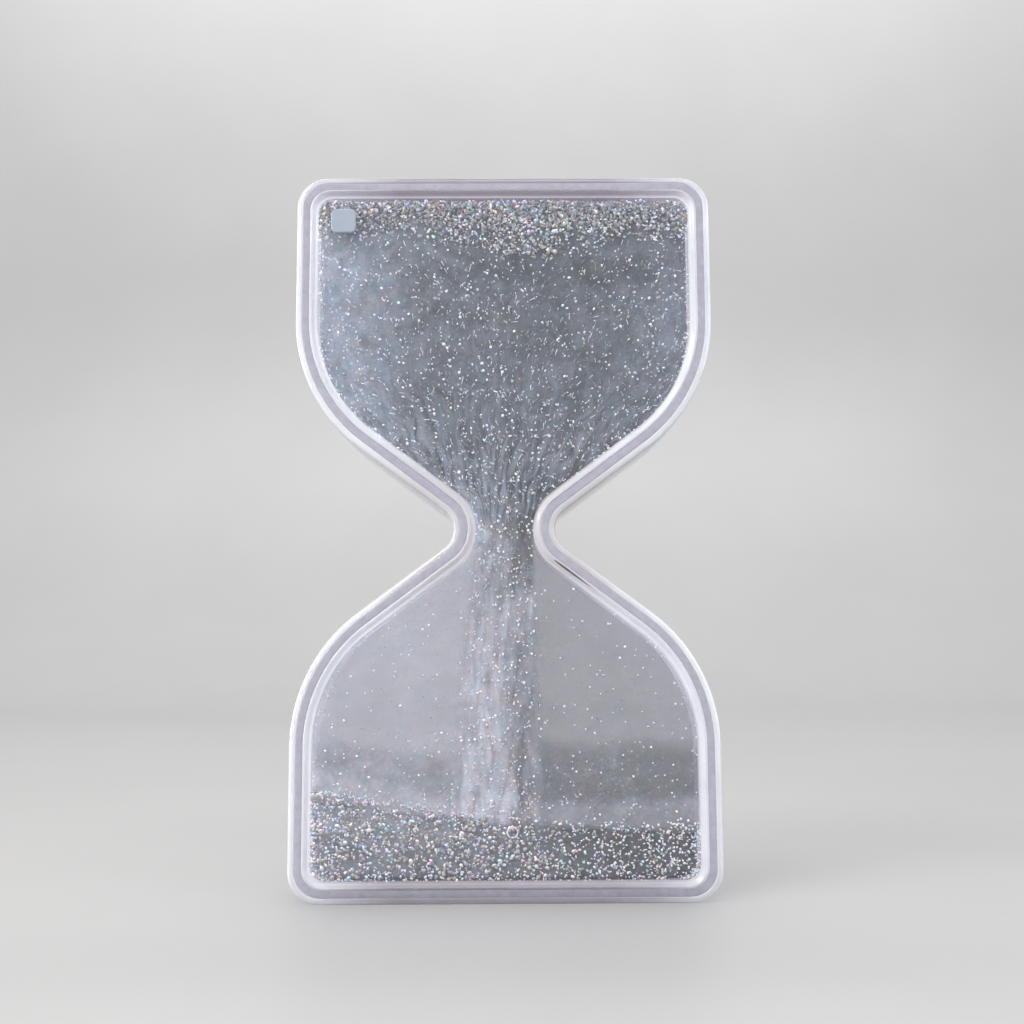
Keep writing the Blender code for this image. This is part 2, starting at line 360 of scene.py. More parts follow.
class Nodes:
    """A material's node tree, with short calls for the nodes used here."""

    def __init__(self, name):
        self.material = bpy.data.materials.new(name)
        self.material.use_nodes = True
        self.tree = self.material.node_tree
        self.tree.nodes.clear()
        self.out = self.tree.nodes.new("ShaderNodeOutputMaterial")

    def add(self, kind, settings=None, **inputs):
        """A node with these settings. Its inputs go by name, or as i0, i1 and so on by number."""
        node = self.tree.nodes.new(kind)
        for key, value in (settings or {}).items():
            setattr(node, key, value)
        for key, value in inputs.items():
            socket = node.inputs[int(key[1:])] if key[0] == "i" and key[1:].isdigit() else node.inputs[key]
            self.feed(socket, value)
        return node

    def feed(self, socket, value):
        if isinstance(value, bpy.types.NodeSocket):
            self.tree.links.new(value, socket)
        elif isinstance(value, tuple) and len(value) == 3 and socket.type == "RGBA":
            socket.default_value = (*value, 1)
        else:
            socket.default_value = value

    def math(self, operation, a, b=0.0, clamp=False):
        settings = {"operation": operation, "use_clamp": clamp}
        return self.add("ShaderNodeMath", settings, i0=a, i1=b).outputs[0]

    def noise(self, vector, scale, detail=3.0, distortion=0.0):
        node = self.add("ShaderNodeTexNoise", None, Vector=vector, Scale=scale, Detail=detail)
        node.inputs["Roughness"].default_value = 0.55
        node.inputs["Distortion"].default_value = distortion
        return node.outputs["Fac"]

    def ramp(self, factor, stops):
        node = self.add("ShaderNodeValToRGB", None, Fac=factor)
        elements = node.color_ramp.elements
        while len(elements) < len(stops):
            elements.new(0.5)
        for element, (position, colour) in zip(elements, stops):
            element.position = position
            element.color = (*colour, 1)
        return node.outputs[0]

    def remap(self, value, start, end, to=(0.0, 1.0)):
        limits = {"i1": start, "i2": end, "i3": to[0], "i4": to[1]}
        return self.add("ShaderNodeMapRange", None, Value=value, **limits).outputs[0]

    def bump(self, height, strength, distance):
        node = self.add("ShaderNodeBump", None, Strength=strength, Distance=distance, Height=height)
        return node.outputs[0]

    def blend(self, factor, a, b, mode="MIX"):
        node = self.add("ShaderNodeMix", {"data_type": "RGBA", "blend_type": mode}, i0=factor)
        self.feed(node.inputs[6], a)
        self.feed(node.inputs[7], b)
        return node.outputs[2]

    def place(self):
        """Where each point is, in the part's own frame."""
        return self.add("ShaderNodeTexCoord").outputs["Object"]

    def principled(self, **inputs):
        node = self.add("ShaderNodeBsdfPrincipled")
        for key, value in inputs.items():
            self.feed(node.inputs[key.replace("_", " ")], value)
        return node.outputs[0]

    def finish(self, shader):
        self.tree.links.new(shader, self.out.inputs[0])
        return self.material


def lets_lamps_through(n, solid, tint):
    """Clear to lamps and to light bounced inside, so what is behind the plastic is lit."""
    path = n.add("ShaderNodeLightPath").outputs
    soft_gloss = n.math("SUBTRACT", path["Is Glossy Ray"], path["Is Singular Ray"], clamp=True)
    passing = n.math("MAXIMUM", path["Is Shadow Ray"], path["Is Diffuse Ray"])
    passing = n.math("MAXIMUM", passing, soft_gloss)
    clear = n.add("ShaderNodeBsdfTransparent", None, Color=tint).outputs[0]
    return n.add("ShaderNodeMixShader", None, i0=passing, i1=solid, i2=clear).outputs[0]


def painted_end_shade(n, at, tone, ends, waist):
    """tone, with painted shade: the darker colour ends along the case's top and bottom, where the plastic
    shows the dark room, and the darker colour waist round its waist.
    """
    split = n.add("ShaderNodeSeparateXYZ", None, Vector=at).outputs
    off = n.math("ABSOLUTE", n.math("SUBTRACT", split[2], MIDDLE))
    end_shade_mask = n.remap(off, MIDDLE - 6.2 * MM, MIDDLE - 3.4 * MM)
    aside = n.math("ABSOLUTE", split[0])
    inner = n.remap(aside, HALF_WIDTH - 3 * MM, HALF_WIDTH - 22 * MM)
    end_shade_mask = n.math("MULTIPLY", end_shade_mask, n.math("ADD", n.math("MULTIPLY", inner, 0.75), 0.25))
    tone = n.blend(end_shade_mask, tone, ends)
    if waist is None:
        return tone
    return n.blend(n.remap(off, 18 * MM, 8 * MM), tone, waist)


def clear_plastic(name, colour, milk, ior=1.49, ends=None, waist=None, passing=0.97):
    """Polished clear plastic; milk is how much of it scatters instead of letting light through.

    ends is painted shade, the darker colour of the plastic along the top and the bottom of the case where
    it shows the dark room; waist is painted shade round the waist, and passing how much of a lamp's light
    gets through each of its faces.
    """
    n = Nodes(name)
    at = n.place()
    flow = n.noise(at, 60, detail=1)
    tone = n.ramp(flow, [(0.3, tuple(c * 0.97 for c in colour)), (0.7, colour)])
    # Painted shade: the darker ends and waist colours stand in for the dark room seen through the plastic.
    if ends is not None:
        tone = painted_end_shade(n, at, tone, ends, waist)
    milkiness = n.ramp(n.noise(at, 120, detail=3), [(0.3, grey(0.8)), (0.75, grey(1))])
    shader = n.principled(
        Base_Color=tone,
        Roughness=0.0,
        IOR=ior,
        Transmission_Weight=n.math("SUBTRACT", 1.0, n.math("MULTIPLY", milkiness, milk)),
        Normal=n.bump(flow, 0.02, 0.2 * MM),
    )
    return n.finish(lets_lamps_through(n, shader, (passing, passing, passing * 1.02)))


def weld_plastic():
    n = Nodes("weld_plastic")
    beads = n.noise(n.place(), 700, detail=3)
    shader = n.principled(
        Base_Color=n.ramp(beads, [(0.3, (0.50, 0.49, 0.57)), (0.7, (0.60, 0.585, 0.67))]),
        Roughness=0.15,
        IOR=1.12,
        Transmission_Weight=0.6,
        Normal=n.bump(beads, 0.12, 0.2 * MM),
    )
    return n.finish(lets_lamps_through(n, shader, (0.9, 0.9, 0.93)))


def plug_plastic():
    n = Nodes("plug_plastic")
    at = n.place()
    mottle = n.noise(at, 420, detail=4)
    grain = n.noise(at, 6000, detail=2)
    shader = n.principled(
        Base_Color=n.ramp(mottle, [(0.3, (0.295, 0.335, 0.41)), (0.7, (0.335, 0.37, 0.44))]),
        Roughness=n.ramp(grain, [(0.3, grey(0.38)), (0.7, grey(0.5))]),
        Normal=n.bump(grain, 0.12, 0.1 * MM),
    )
    return n.finish(shader)


def around_waist(n, at):
    """Coordinates in which the flow towards the waist is drawn out into streaks, with a slight swirl."""
    split = n.add("ShaderNodeSeparateXYZ", None, Vector=at).outputs
    rise = n.math("SUBTRACT", split[2], MIDDLE - 12 * MM)
    swirl = n.math("MULTIPLY", n.math("SUBTRACT", n.noise(at, 70, detail=2), 0.5), 0.35)
    angle = n.math("ADD", n.math("ARCTAN2", split[0], rise), swirl)
    reach = n.math("SQRT", n.math("ADD", n.math("POWER", split[0], 2.0), n.math("POWER", rise, 2.0)))
    return n.add(
        "ShaderNodeCombineXYZ",
        None,
        X=n.math("MULTIPLY", angle, 0.05),
        Y=split[1],
        Z=n.math("MULTIPLY", reach, 0.30),
    ).outputs[0]


# The colours that holographic film runs through, and the tints that drift through the dust.
HOLOGRAPHIC = [
    (0.00, (1.00, 0.86, 0.48)),
    (0.20, (0.98, 0.96, 0.80)),
    (0.36, (0.62, 0.95, 0.84)),
    (0.52, (0.52, 0.74, 1.00)),
    (0.68, (0.80, 0.66, 1.00)),
    (0.84, (1.00, 0.62, 0.66)),
    (1.00, (1.00, 0.74, 0.46)),
]
DUST_HUES = ((0.84, 1.01, 1.14), (0.93, 1.0, 1.11), (0.99, 0.98, 1.07), (1.01, 1.01, 1.0))


def glitter(name, tint, patch, dark, bright):
    """Silver film in flakes, of which a share as large as bright are coloured near white as painted glints,
    and the others dark.

    Its rainbow tints are as strong as tint, and gather in patches.
    """
    n = Nodes(name)
    at = n.place()
    own = n.add("ShaderNodeNewGeometry").outputs["Random Per Island"]
    other = n.math("FRACT", n.math("MULTIPLY", own, 57.0))
    drift = n.noise(at, patch, detail=1)
    spot = n.ramp(drift, [(0.38, grey(0.40)), (0.56, grey(1))])
    turn = n.math("ADD", n.math("MULTIPLY", other, 0.5), n.math("MULTIPLY", drift, 4))
    hue = n.ramp(n.math("FRACT", turn), HOLOGRAPHIC)
    colour = n.blend(n.math("MULTIPLY", spot, tint), (0.95, 0.97, 1.0), hue)
    # Painted glints: a random share of the flakes, as large as bright, is coloured near white so that it
    # sparkles under any lamp.
    glint_from = 1 - bright
    steps = [(0.0, grey(dark)), (glint_from - 0.1, grey(dark * 1.5)), (glint_from, grey(0.98))]
    level = n.ramp(own, steps)
    shader = n.principled(Base_Color=n.blend(1.0, colour, level, "MULTIPLY"), Metallic=0.15, Roughness=0.3)
    return n.finish(shader)


def downwards(n, at):
    """Coordinates in which the dust is drawn out downwards."""
    return n.add("ShaderNodeVectorMath", {"operation": "MULTIPLY"}, i0=at, i1=(1.0, 1.0, 0.28)).outputs[0]


def cloud(name, grain, streaks=None, contrast=0.55, sparks=0.5, cast=(1, 1, 1)):
    """Fine glitter dust in the liquid: mottled, and drawn out along the coordinates that streaks gives.

    The body's own values say how dense it is (veil), how pale (tone) and how streaked (pull).
    """
    n = Nodes(name)
    at = n.place()
    own = {key: n.add("ShaderNodeAttribute", {"attribute_name": key}).outputs["Fac"] for key in BODY_VALUES}
    broad = n.noise(at, 85, detail=4, distortion=1.0)
    mid = n.noise(at, 330, detail=4, distortion=0.6)
    fine = n.noise(at, grain, detail=3)
    mottle = n.math("ADD", n.math("MULTIPLY", broad, 0.40), n.math("MULTIPLY", mid, 0.35))
    mottle = n.math("ADD", mottle, n.math("MULTIPLY", fine, 0.25))
    if streaks:
        drawn = n.noise(streaks(n, at), 520, detail=4, distortion=0.5)
        change = n.math("MULTIPLY", own["pull"], n.math("SUBTRACT", drawn, mottle))
        mottle = n.math("ADD", mottle, change)
    swing = n.math("MULTIPLY", n.math("SUBTRACT", mottle, 0.5), contrast)
    pale = n.math("ADD", own["tone"], swing, clamp=True)
    level = n.math("POWER", n.math("MULTIPLY", pale, 0.83), 2.2)
    hues = [tuple(c * t for c, t in zip(shift, cast)) for shift in DUST_HUES]
    hue = n.ramp(n.noise(at, 380, detail=3), list(zip((0.34, 0.47, 0.58, 0.70), hues)))
    colour = n.blend(1.0, hue, level, "MULTIPLY")
    speck = n.add("ShaderNodeTexVoronoi", {"feature": "F1"}, Vector=at, Scale=950.0)
    spark = n.ramp(speck.outputs["Distance"], [(0.14, grey(1)), (0.32, grey(0))])
    lit = n.ramp(speck.outputs["Color"], [(0.52, grey(0)), (0.70, grey(1))])
    glint = n.math("MULTIPLY", spark, n.math("MULTIPLY", lit, sparks))
    colour = n.blend(glint, colour, (0.80, 0.83, 0.88))
    shader = n.principled(
        Base_Color=colour,
        Roughness=n.ramp(fine, [(0.3, grey(0.5)), (0.7, grey(0.8))]),
        Specular_IOR_Level=0.1,
        Normal=n.bump(mid, 0.35, 0.3 * MM),
    )
    wisps = n.remap(mottle, 0.3, 0.7, to=(0.8, 1.2))
    dense = n.math("MULTIPLY", own["veil"], wisps, clamp=True)
    clear = n.add("ShaderNodeBsdfTransparent").outputs[0]
    return n.finish(n.add("ShaderNodeMixShader", None, i0=dense, i1=clear, i2=shader).outputs[0])


# ---------------------------------------------------------------- the case

def tray_material(inset, y):
    """Wetted where the tray touches the weld, the skirt or the liquid, and whitened along its outer edge as
    a painted highlight.
    """
    if TRAY_FRONT_Y + 0.1 * MM < y < CAVITY_BACK_Y + 0.01 * MM and inset > FRONT_LAND - 0.1 * MM:
        return WET
    return PAINTED_HIGHLIGHT if y < TRAY_FRONT_Y + 1.2 * MM else RIM


def cover_material(inset, y):
    """Wetted where the cover touches weld, tray or liquid, and whitened on the step to its window as a
    painted highlight.
    """
    if y > FRONT_WINDOW_Y + 0.1 * MM or (inset < SEAM_INSIDE + 0.05 * MM and y > 0.2 * MM - HALF_DEPTH):
        return WET
    return PAINTED_HIGHLIGHT if inset > RIM_EDGE + 0.05 * MM else RIM


def case_materials():
    """The rim, the window, the faces that liquid or weld wets, and the edges whitened as painted
    highlights.
    """
    # The ends and waist colours are painted shade, darker where the plastic shows the dark room.
    rim = clear_plastic(
        "clear_rim",
        colour=(0.90, 0.91, 0.955),
        milk=0.40,
        ends=(0.42, 0.39, 0.43),
        waist=(0.82, 0.79, 0.81),
        passing=0.86,
    )
    # Painted highlight: whiter and milkier than the rim, so that these edges show as bright lines.
    highlight_plastic = clear_plastic(
        "painted_highlight_edge",
        colour=(0.94, 0.95, 0.985),
        milk=0.50,
        ends=(0.46, 0.43, 0.475),
        waist=(0.74, 0.71, 0.73),
        passing=0.86,
    )
    pane = clear_plastic("clear_window", (0.975, 0.98, 0.995), 0.02)
    wet = clear_plastic("wetted_plastic", (0.94, 0.935, 0.98), 0.04, ior=1.05, ends=(0.74, 0.68, 0.76))
    return [rim, pane, wet, highlight_plastic]


def make_case():
    """The two mouldings, each from a section of (inset, y, fillet) corners, and the weld between them."""
    materials = case_materials()
    tray = [
        (WINDOW_EDGE + 0.5 * MM, HALF_DEPTH - RECESS, 0),
        (WINDOW_EDGE, HALF_DEPTH - RECESS, 0.25 * MM),
        (RIM_EDGE, HALF_DEPTH, 0.35 * MM),
        (0, HALF_DEPTH, 2.4 * MM),
        (0, TRAY_FRONT_Y, 1.1 * MM),
        (FRONT_LAND, TRAY_FRONT_Y, 0.15 * MM),
        (FRONT_LAND, SEAM_Y, 0.15 * MM),
        (WALL, SEAM_Y, 0.15 * MM),
        (WALL, CAVITY_BACK_Y, 0.3 * MM),
        (WALL + 0.6 * MM, CAVITY_BACK_Y, 0),
    ]
    cover = [
        (WINDOW_EDGE + 0.5 * MM, FRONT_WINDOW_Y, 0),
        (WINDOW_EDGE, FRONT_WINDOW_Y, 0.25 * MM),
        (RIM_EDGE, -HALF_DEPTH, 0.22 * MM),
        (SEAM_INSIDE, -HALF_DEPTH, 0.2 * MM),
        (SEAM_INSIDE, SEAM_Y, 0.15 * MM),
        (SKIRT_OUTSIDE, SEAM_Y, 0.15 * MM),
        (SKIRT_OUTSIDE, CAVITY_BACK_Y - CLEARANCE, 0.2 * MM),
        (SKIRT_INSIDE, CAVITY_BACK_Y - CLEARANCE, 0.2 * MM),
        (SKIRT_INSIDE, CAVITY_FRONT_Y, 0.3 * MM),
        (SKIRT_INSIDE + 0.6 * MM, CAVITY_FRONT_Y, 0),
    ]
    rear = moulded("clear_rear_tray", filleted(tray), materials, tray_material)
    front = moulded("clear_front_cover", filleted(cover), materials, cover_material)
    keep(rear, "clear_plastic", "rear_tray")
    keep(front, "clear_plastic", "front_cover")
    outer = FRONT_LAND + 0.01 * MM
    inner = SEAM_INSIDE - 0.01 * MM
    top = TRAY_FRONT_Y - 0.12 * MM
    floor = SEAM_Y - 0.04 * MM
    bead = [
        (outer, top, 0.25 * MM),
        (inner, top, 0.25 * MM),
        (inner, floor, 0.1 * MM),
        (outer, floor, 0.1 * MM),
    ]
    ring = moulded("weld_ring", filleted(bead), [weld_plastic()], joined_ends=True)
    keep(ring, "weld_plastic", "weld_bead")


def make_void():
    """The short dark gap that the weld leaves on the right, just under the waist."""
    n = Nodes("weld_void")
    mottle = n.noise(n.place(), 900, detail=2)
    shade = n.ramp(mottle, [(0.3, (0.05, 0.04, 0.045)), (0.7, (0.14, 0.11, 0.12))])
    dark = n.finish(n.principled(Base_Color=shade, Roughness=0.5))
    heights = np.linspace(MIDDLE - 6.4 * MM, MIDDLE - 12.6 * MM, 26)
    across = half_width(heights, RIM_EDGE + 0.05 * MM)
    path = [(x, 0.18 * MM - HALF_DEPTH, z) for x, z in zip(across, heights)]
    share = np.linspace(0, 1, len(path))
    radii = (0.07 + 0.18 * np.sin(math.pi * share ** 0.6)) * MM
    keep(tube("weld_void", path, radii, dark), "weld_plastic")


def make_plug():
    """The carried-over plug: its shape is right, so it only takes its material."""
    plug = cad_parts["fill_plug"]
    material = plug_plastic()
    for slot in plug.material_slots:
        slot.material = material


# ---------------------------------------------------------------- the glitter

def scatter(count, low, high, inset, layer, front_share):
    """Random places in the cavity between two heights, within layer of its windows or its side walls.

    front_share of those at the windows are at the front one. Fewer than count come back, because the
    narrow heights of the case keep fewer of them.
    """
    z = rng.uniform(low, high, count)
    width = half_width(z, inset)
    x = rng.uniform(-1, 1, count) * width
    deep = CAVITY_HALF_DEPTH - WINDOW_GAP
    y = deep - rng.uniform(0, layer, count)
    y = np.where(rng.uniform(size=count) < front_share, -y, y)
    walls = rng.uniform(size=count) < WALL_SHARE
    x = np.where(walls, np.sign(x) * (width - rng.uniform(0, layer, count)), x)
    y = np.where(walls, rng.uniform(-deep, deep, count), y)
    kept = rng.uniform(size=count) < width / (HALF_WIDTH - inset)
    return np.stack([x, y, z], axis=1)[kept]


def towards_waist(points, bend=0.5):
    """The way the glitter moves at each point of the upper chamber."""
    way = unit(np.stack([-points[:, 0], 0 * points[:, 0], MIDDLE - 6 * MM - points[:, 2]], axis=1))
    way[:, 0] += bend * ripple(points, 90, 3.0)
    return unit(way)


def smooth(t):
    """An even step from 0 to 1 while t goes from 0 to 1."""
    t = np.clip(t, 0, 1)
    return t * t * (3 - 2 * t)


def chosen(points, chance):
    """The points that a chance from 0 to 1 leaves."""
    return points[rng.uniform(size=len(points)) < chance]


def column_width(z):
    """Half the width of the hanging glitter: the whole cavity's above the waist, and a column's below."""
    column = np.where(z < MIDDLE, 6.0 * MM, HALF_WIDTH)
    return np.minimum(half_width(z, DUST_INSET), column)


def make_upper():
    """The hanging dust with its flakes, and the coarse band on top. Returns the film that others share."""
    foot = MIDDLE - 4 * MM
    body = cloud_body(
        "glitter_cloud",
        [cloud("cloud_dust", grain=1500, streaks=around_waist, contrast=0.98, cast=(0.93, 1.0, 1.05))],
        low=foot,
        high=HEIGHT - 4.7 * MM,
        inset=column_width,
        front=-6.15 * MM,
        back=6.15 * MM,
        bump=0.3 * MM,
        seed=1.0,
        rows=160,
    )
    shade_upper(body, foot)
    keep(body, "hanging_glitter", "upper_glitter")
    coarse = glitter("coarse_film", tint=0.70, patch=240, dark=0.31, bright=0.15)
    bright = glitter("bright_film", tint=0.62, patch=240, dark=0.36, bright=0.70)
    make_band(coarse, bright)
    make_cloud_flakes(bright)
    make_cloud_wisps()
    return bright


def shade_upper(body, foot):
    """Paler at the left and the right wall, darker under the coarse band, and drawn out near the waist. The
    paler left and the darker right are in part painted light and shade from the key lamp at the left.
    """
    places = points_of(body)
    x, z = places[:, 0], places[:, 2]
    neck = smooth((MIDDLE + 22 * MM - z) / (26 * MM))
    left_haze_and_light = smooth((-x - 13 * MM) / (20 * MM)) * (1 - 0.6 * neck)
    right_haze = smooth((x - 26 * MM) / (10 * MM))
    under_band = np.exp(-((z - HEIGHT + (19 - 4 * left_haze_and_light) * MM) / (6 * MM)) ** 2)
    # Painted light and shade, in part: the dust is paler at the left, towards the key lamp, and darker at
    # the right near the neck and at deep_right.
    tone = 0.475 + 0.16 * left_haze_and_light + 0.08 * right_haze - 0.05 * under_band * (1 - left_haze_and_light)
    deep_right = np.exp(-((x - 17 * MM) / (15 * MM)) ** 2 - ((z - HEIGHT + 30 * MM) / (22 * MM)) ** 2)
    aside = np.abs(x) / column_width(z)
    beside = smooth((aside - 0.4) / 0.5) * smooth((HEIGHT - 38 * MM - z) / (16 * MM))
    tone += 0.05 * neck - 36.0 * x * neck ** 2 - 0.03 * deep_right + 0.06 * beside
    pull = 0.25 + 0.75 * smooth((HEIGHT - 38 * MM - z) / (24 * MM))
    shade_body(body, veil=smooth((z - foot) / (6 * MM)), tone=tone, pull=pull)


def make_cloud_flakes(bright):
    """The small bright flakes in the hanging dust, closer together towards the waist."""
    low, high = MIDDLE - 2 * MM, HEIGHT - 5 * MM
    spread = scatter(13000, low, high, FLAKE_INSET, 0.8 * MM, UPPER_FRONT_SHARE)
    clump = 0.5 + 0.5 * ripple(spread, 150, 8)
    funnel = smooth((MIDDLE + 40 * MM - spread[:, 2]) / (34 * MM))
    neck = smooth((MIDDLE + 14 * MM - spread[:, 2]) / (12 * MM))
    spread = chosen(spread, (0.17 + 0.50 * clump ** 2 + 0.34 * funnel) * (1 - 0.45 * neck))
    sizes = (0.34 + 0.46 * rng.uniform(size=len(spread)) ** 1.8) * MM
    slim = rng.uniform(0.45, 0.95, len(spread))
    way = towards_waist(spread)
    keep(flakes("cloud_flakes", spread, sizes, bright, aspect=slim, along=way), "hanging_glitter")


def make_cloud_wisps():
    """Slivers in the hanging dust that point the way it moves, and end a little below the waist."""
    low, high = MIDDLE - 34 * MM, HEIGHT - 12 * MM
    wisps = scatter(12000, low, high, 5.0 * MM, 0.6 * MM, UPPER_FRONT_SHARE)
    wisps = wisps[np.abs(wisps[:, 0]) < column_width(wisps[:, 2]) - 0.3 * MM]
    share = 0.22 + 0.26 * smooth((MIDDLE + 44 * MM - wisps[:, 2]) / (30 * MM))
    wisps = chosen(wisps, share * smooth((wisps[:, 2] - MIDDLE + 20 * MM) / (34 * MM)))
    film = glitter("wisp_film", tint=0.4, patch=240, dark=0.26, bright=0.16)
    needles("cloud_wisps", wisps, (0.8, 2.0), film, "hanging_glitter", towards_waist(wisps, 0.9))


def needles(name, places, length, material, slot, along=None):
    """Slim flakes, length in millimetres from the shortest to the longest."""
    sizes = rng.uniform(*length, len(places)) * MM
    slim = rng.uniform(0.12, 0.204, len(places)) * MM / sizes
    keep(flakes(name, places, sizes, material, 4, slim, along=along, turn=0.35), slot)


def make_band(coarse, bright):
    """The coarse glitter still floating at the top of the upper chamber."""
    for name, count, material, low, high in (
        ("top_flakes", 9500, coarse, 0.60, 1.15),
        ("top_sparks", 5600, bright, 0.36, 0.75),
    ):
        lowest, highest = HEIGHT - 19 * MM, HEIGHT - 4.6 * MM
        band = scatter(count, lowest, highest, FLAKE_INSET, 1.0 * MM, UPPER_FRONT_SHARE)
        depth = (HEIGHT - FLAKE_INSET) - band[:, 2]
        swell = 4.5 * np.exp(-(((band[:, 0] - 4 * MM) / (17 * MM)) ** 2))
        edge = (6.5 + swell) * MM * (1 + 0.35 * ripple(band, 130, 5))
        band = chosen(band, np.clip(1.35 - 1.1 * depth / edge, 0, 1))
        sizes = rng.uniform(low, high, len(band)) * MM
        slim = rng.uniform(0.55, 1, len(band))
        keep(flakes(name, band, sizes, material, aspect=slim), "hanging_glitter")


def stream_mask(x, z):
    """How dense the falling column is at a place in the lower chamber, from 0 to 1."""
    fall = np.clip((MIDDLE - z) / (MIDDLE - BED_LEVEL), 0, 1)
    left = (-5.7 - 6.0 * fall) * MM
    right = (5.8 + 1.0 * fall) * MM
    soft_left = (0.8 + 6.0 * fall) * MM
    soft_right = (0.6 + 1.2 * fall) * MM
    return smooth((x - left) / soft_left + 0.4) * smooth((right - x) / soft_right + 0.5)


def make_lower(bright):
    """The liquid's haze, the falling stream, the bed, and what floats or lies between them."""
    haze = cloud(
        "liquid_haze", grain=1100, streaks=downwards, contrast=0.70, sparks=0.30, cast=(1.04, 1.0, 0.98)
    )
    make_haze("haze_front", haze, -6.6 * MM, -1.8 * MM, 11.0, "carrier_liquid")
    make_haze("haze_back", haze, 1.8 * MM, 6.6 * MM, 17.0)
    make_heart()
    make_stream_flakes(bright)
    make_bed(bright)
    pale = glitter("stray_film", tint=0.50, patch=240, dark=0.62, bright=0.75)
    make_strays(pale)
    make_needles(pale)
    make_bubble()


def make_haze(name, material, front, back, seed, *nodes):
    """One of the two sheets of haze, in front of the stream's heart and behind it."""
    body = cloud_body(
        name,
        [material],
        low=lambda x: bed_height(x) - 2 * MM,
        high=MIDDLE + 5 * MM,
        inset=DUST_INSET,
        front=front,
        back=back,
        bump=0.25 * MM,
        seed=seed,
    )
    shade_haze(body, seed)
    keep(body, "clear_liquid", *nodes)


def make_strays(pale):
    """Single flakes in the clear liquid, more of them just over the bed."""
    low, high = BED_LEVEL - 2 * MM, MIDDLE - 3 * MM
    stray = scatter(7000, low, high, 4.6 * MM, 0.4 * MM, LOWER_FRONT_SHARE)
    nearness = np.exp(-(stray[:, 2] - bed_height(stray[:, 0])) / (16 * MM))
    stray = chosen(stray, 0.05 + 0.20 * nearness)
    sizes = (0.32 + 0.32 * rng.uniform(size=len(stray)) ** 2) * MM
    keep(flakes("stray_flakes", stray, sizes, pale, aspect=0.85, turn=0.4), "clear_liquid")


def shade_haze(body, seed):
    """Clear above, milky by the column, and with a dark layer of dust over the bed."""
    places = points_of(body)
    x, z = places[:, 0], places[:, 2]
    column = stream_mask(x, np.minimum(z, MIDDLE))
    above = z - bed_height(x) + 2.6 * MM * ripple(places, 75, seed) + 1.3 * MM * ripple(places, 240, seed)
    right = smooth((x + 4 * MM) / (10 * MM))
    top_edge = (10.0 + 4.5 * right) * MM
    low_edge = (3.6 + 1.2 * right) * MM
    dusty = smooth((above - low_edge) / (3.4 * MM) + 0.5) * smooth((top_edge - above) / (5 * MM) + 0.5)
    dusty *= 1 - 0.8 * column
    settling = smooth((low_edge - above) / (3.4 * MM) + 0.5)
    fallen = smooth((MIDDLE - 10 * MM - z) / (20 * MM))
    core = smooth((x + 0.5 * MM) / (4 * MM)) * column
    tone = 0.82 - 0.16 * right * (1 - column)
    tone = tone * (1 - column) + column * (0.73 + 0.13 * fallen)
    throat = smooth((z - MIDDLE + 15 * MM) / (7 * MM))
    tone -= core * (0.31 * throat + 0.20 * smooth((MIDDLE - 16 * MM - z) / (14 * MM)))
    tone -= dusty * (0.10 - 0.01 * right)
    tone += settling * (0.05 + 0.03 * right) * (1 - column)
    rise = smooth((MIDDLE + 4 * MM - z) / (6 * MM))
    neck = smooth((z - MIDDLE + 14 * MM) / (12 * MM))
    veil = (0.26 + (0.42 + 0.26 * neck) * column + 0.32 * dusty + 0.34 * settling) * rise
    shade_body(body, veil=np.clip(veil, 0, 0.92), tone=tone, pull=0.9 * column)


def make_heart():
    """The narrow dense heart of the falling column, paler at its left."""
    rows, across = 90, 28
    points = []
    for t in np.linspace(0, 1, rows):
        z = (MIDDLE - 4 * MM) * t + (BED_LEVEL + 0.5 * MM) * (1 - t)
        half = (4.6 + 0.4 * t) * MM
        shift = -0.4 * MM * (1 - t) + 0.35 * MM * math.sin(9 * t)
        for k in range(across):
            a = 2 * math.pi * k / across
            points.append((shift + half * math.cos(a), 0.85 * half * math.sin(a), z))
    points = np.array(points)
    lift = 1 + 0.12 * ripple(points * (1, 1, 0.4), 300, 21)
    points[:, :2] *= lift[:, None]
    dust = cloud("stream_dust", grain=1300, streaks=downwards)
    mesh = mesh_of("stream_heart", points, ring_faces(rows, across))
    heart = link("stream_heart", mesh, [dust], smooth=60)
    shade_body(heart, veil=0.85, tone=0.60 - 6.0 * points[:, 0], pull=0.9)
    keep(heart, "sinking_glitter", "falling_stream")


def make_stream_flakes(bright):
    """Flakes near the windows, and an extra sheet of them in front of the haze and behind it."""
    low, high = BED_LEVEL + 1 * MM, MIDDLE + 2 * MM
    falling = scatter(5000, low, high, FLAKE_INSET, 0.4 * MM, LOWER_FRONT_SHARE)
    count = 5200
    extra_x = rng.uniform(-9.5, 7.5, count) * MM
    extra_y = window_depths(count, 6.65)
    extra_z = rng.uniform(BED_LEVEL, high, count)
    falling = np.concatenate([falling, np.stack([extra_x, extra_y, extra_z], axis=1)])
    falling = falling[np.abs(falling[:, 0]) < half_width(falling[:, 2], 4.5 * MM)]
    dense = stream_mask(falling[:, 0], np.minimum(falling[:, 2], MIDDLE))
    height = smooth((falling[:, 2] - MIDDLE + 36 * MM) / (32 * MM))
    falling = chosen(falling, dense * (0.13 + 0.10 * height))
    sizes = (0.32 + 0.42 * rng.uniform(size=len(falling)) ** 1.8) * MM
    down = np.tile([0.0, 0.0, -1.0], (len(falling), 1))
    slim = rng.uniform(0.55, 0.95, len(falling))
    stream = flakes("stream_flakes", falling, sizes, bright, aspect=slim, along=down, turn=0.5)
    keep(stream, "sinking_glitter")


